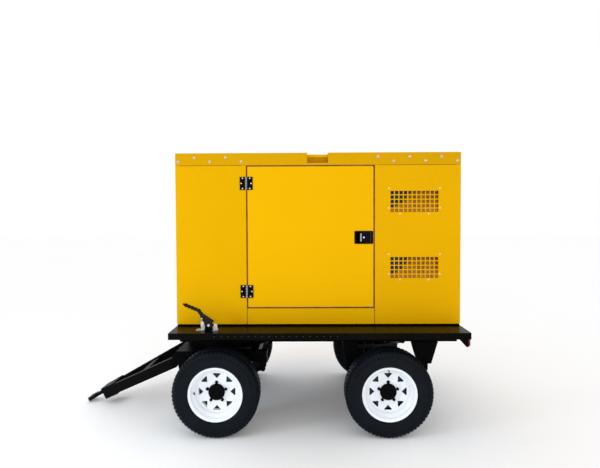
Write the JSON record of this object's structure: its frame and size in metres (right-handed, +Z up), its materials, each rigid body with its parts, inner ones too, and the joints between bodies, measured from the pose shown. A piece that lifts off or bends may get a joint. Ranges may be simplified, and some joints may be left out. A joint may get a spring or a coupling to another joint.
{
  "type": "towable diesel generator",
  "caption": "Soundproofed diesel generator in a box canopy on a flat-deck trailer with fixed rear axle, steered front bogie and A-frame drawbar.",
  "frame": {"origin": "on the ground, below the middle of the outer box", "axes": "+X from the tow eye towards the tail, +Y towards the far side, away from the brake lever, +Z up"},
  "size_m": [3.0294, 1.398, 2.042],
  "materials": {
    "canopy_yellow": "gloss powder coat",
    "chassis_black": "gloss black paint",
    "black_fittings": "satin black",
    "zinc": "zinc plated",
    "rim_white": "gloss white paint",
    "tyre_rubber": "black rubber",
    "spring_steel": "black painted spring steel",
    "lamp_red": "red lens",
    "engine_grey": "painted casting",
    "alternator_blue": "painted housing",
    "radiator_black": "black painted aluminium",
    "fan_plastic": "moulded plastic",
    "tank_black": "moulded tank",
    "grip_rubber": "grooved grip",
    "panel_grey": "textured dark grey"
  },
  "bodies": {
    "chassis": {"deck": "chassis_black", "main_rails": "chassis_black", "cross_members": "chassis_black", "turntable_upper_ring": "chassis_black", "rear_spring_hangers": "chassis_black", "rear_springs": "spring_steel", "rear_spring_clamps": "zinc", "rear_axle": "chassis_black", "tail_lamp_brackets": "chassis_black", "tail_lamps": "lamp_red", "base_frame": "chassis_black", "canopy_frame": "canopy_yellow", "side_front_panels": "canopy_yellow", "side_rear_panels": "canopy_yellow", "door_sills": "canopy_yellow", "front_end_panel": "canopy_yellow", "rear_end_panel": "canopy_yellow", "roof_cover": "canopy_yellow", "vent_grilles": "canopy_yellow", "front_louvres": "canopy_yellow", "canopy_screws": "zinc", "hinge_fixed_leaves": "black_fittings", "brake_lever_base": "zinc", "engine": "engine_grey", "alternator": "alternator_blue", "radiator": "radiator_black", "fuel_tank": "tank_black", "silencer": "zinc", "control_panel": "panel_grey"},
    "near_door": {"near_door": "canopy_yellow", "near_door_fittings": "black_fittings"},
    "near_latch": {"near_latch_paddle": "black_fittings"},
    "far_door": {"far_door": "canopy_yellow", "far_door_fittings": "black_fittings"},
    "far_latch": {"far_latch_paddle": "black_fittings"},
    "lever": {"brake_lever": "grip_rubber"},
    "release_button": {"brake_release_button": "black_fittings"},
    "bogie": {"bogie_frame": "chassis_black", "turntable_lower_ring": "chassis_black", "front_spring_hangers": "chassis_black", "front_springs": "spring_steel", "front_spring_clamps": "zinc", "front_axle": "chassis_black"},
    "drawbar": {"drawbar_near_beam": "chassis_black", "drawbar_far_beam": "chassis_black", "drawbar_ties": "chassis_black", "tow_eye": "chassis_black"},
    "fan": {"fan": "fan_plastic"},
    "wheel_front_near": {"tyre_front_near": "tyre_rubber", "rim_front_near": "rim_white", "hub_front_near": "black_fittings"},
    "wheel_front_far": {"tyre_front_far": "tyre_rubber", "rim_front_far": "rim_white", "hub_front_far": "black_fittings"},
    "wheel_rear_near": {"tyre_rear_near": "tyre_rubber", "rim_rear_near": "rim_white", "hub_rear_near": "black_fittings"},
    "wheel_rear_far": {"tyre_rear_far": "tyre_rubber", "rim_rear_far": "rim_white", "hub_rear_far": "black_fittings"}
  },
  "joints": [
    {"name": "near_door_hinge", "type": "hinge", "parent": "chassis", "child": "near_door", "pos_m": [-0.077, -0.467, 1.4], "axis": [0, 0, -1], "range_deg": [0, 110]},
    {"name": "near_latch_flip", "type": "hinge", "parent": "near_door", "child": "near_latch", "pos_m": [0.841, -0.452, 1.412], "axis": [0, 0, 1], "range_deg": [0, 45]},
    {"name": "far_door_hinge", "type": "hinge", "parent": "chassis", "child": "far_door", "pos_m": [-0.077, 0.467, 1.4], "axis": [0, 0, 1], "range_deg": [0, 110]},
    {"name": "far_latch_flip", "type": "hinge", "parent": "far_door", "child": "far_latch", "pos_m": [0.841, 0.452, 1.412], "axis": [0, 0, -1], "range_deg": [0, 45]},
    {"name": "brake_lever_pivot", "type": "hinge", "parent": "chassis", "child": "lever", "pos_m": [-0.338, -0.59, 0.788], "axis": [0, 1, 0], "range_deg": [-20, 50]},
    {"name": "brake_release_push", "type": "slide", "parent": "lever", "child": "release_button", "axis": [0.9205, 0, -0.3907], "range_m": [0, 0.006], "stiffness_N_per_m": 800, "springref_m": -0.001},
    {"name": "bogie_steer", "type": "hinge", "parent": "chassis", "child": "bogie", "pos_m": [-0.28, 0, 0.575], "axis": [0, 0, 1], "range_deg": [-28, 28]},
    {"name": "drawbar_pitch", "type": "hinge", "parent": "bogie", "child": "drawbar", "pos_m": [-0.665, 0, 0.436], "axis": [0, 1, 0], "range_deg": [0, 60]},
    {"name": "fan_spin", "type": "hinge", "parent": "chassis", "child": "fan", "pos_m": [-0.434, 0, 1.19], "axis": [1, 0, 0], "continuous": true},
    {"name": "wheel_spin_front_near", "type": "hinge", "parent": "bogie", "child": "wheel_front_near", "pos_m": [-0.28, -0.61, 0.312], "axis": [0, 1, 0], "continuous": true},
    {"name": "wheel_spin_front_far", "type": "hinge", "parent": "bogie", "child": "wheel_front_far", "pos_m": [-0.28, 0.61, 0.312], "axis": [0, 1, 0], "continuous": true},
    {"name": "wheel_spin_rear_near", "type": "hinge", "parent": "chassis", "child": "wheel_rear_near", "pos_m": [0.95, -0.61, 0.312], "axis": [0, 1, 0], "continuous": true},
    {"name": "wheel_spin_rear_far", "type": "hinge", "parent": "chassis", "child": "wheel_rear_far", "pos_m": [0.95, 0.61, 0.312], "axis": [0, 1, 0], "continuous": true}
  ]
}
